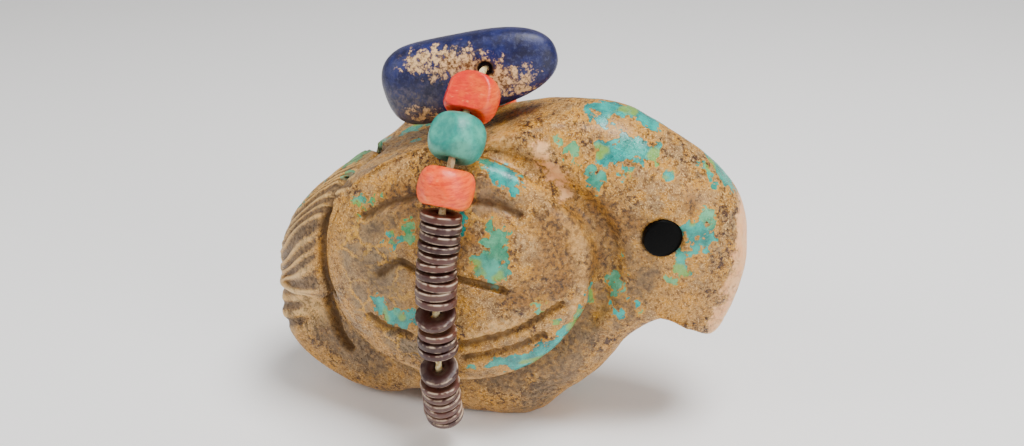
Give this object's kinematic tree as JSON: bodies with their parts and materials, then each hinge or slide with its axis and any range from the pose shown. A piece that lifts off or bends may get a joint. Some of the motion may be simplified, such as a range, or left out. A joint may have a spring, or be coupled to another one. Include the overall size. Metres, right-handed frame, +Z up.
{
  "type": "carved bird fetish with bead bundle",
  "caption": "Carved stone bird fetish with a hooked beak, round wings and fluted fan tail; a drilled lapis nugget, coral and turquoise beads and shell disc strands are tied over its back.",
  "frame": {"origin": "middle of the flat foot under the belly, on the surface it stands on", "axes": "+Z up, the bird faces -Y, its left side is +X"},
  "size_m": [0.0283, 0.049, 0.0407],
  "materials": {
    "turquoise_stone": "satin",
    "lapis": "polished",
    "jet": "polished",
    "coral": "satin",
    "turquoise": "satin",
    "shell": "satin",
    "thread": "matte"
  },
  "bodies": {
    "root": {"bird_body": "turquoise_stone", "lapis_nugget": "lapis", "stringing_thread": "thread", "eye_left": "jet", "coral_bead_left_upper": "coral", "turquoise_bead_left": "turquoise", "coral_bead_left_lower": "coral", "heishi_left_01": "shell", "heishi_left_02": "shell", "heishi_left_03": "shell", "heishi_left_04": "shell", "heishi_left_05": "shell", "heishi_left_06": "shell", "heishi_left_07": "shell", "heishi_left_08": "shell", "heishi_left_09": "shell", "heishi_left_10": "shell", "heishi_left_11": "shell", "heishi_left_12": "shell", "heishi_left_13": "shell", "heishi_left_14": "shell", "heishi_left_15": "shell", "heishi_left_16": "shell", "heishi_left_17": "shell", "heishi_left_18": "shell", "heishi_left_19": "shell", "eye_right": "jet", "coral_bead_right_upper": "coral", "turquoise_bead_right": "turquoise", "coral_bead_right_lower": "coral", "heishi_right_01": "shell", "heishi_right_02": "shell", "heishi_right_03": "shell", "heishi_right_04": "shell", "heishi_right_05": "shell", "heishi_right_06": "shell", "heishi_right_07": "shell", "heishi_right_08": "shell", "heishi_right_09": "shell", "heishi_right_10": "shell", "heishi_right_11": "shell", "heishi_right_12": "shell", "heishi_right_13": "shell", "heishi_right_14": "shell", "heishi_right_15": "shell", "heishi_right_16": "shell", "heishi_right_17": "shell", "heishi_right_18": "shell", "heishi_right_19": "shell", "heishi_right_20": "shell", "heishi_right_21": "shell"}
  },
  "joints": []
}
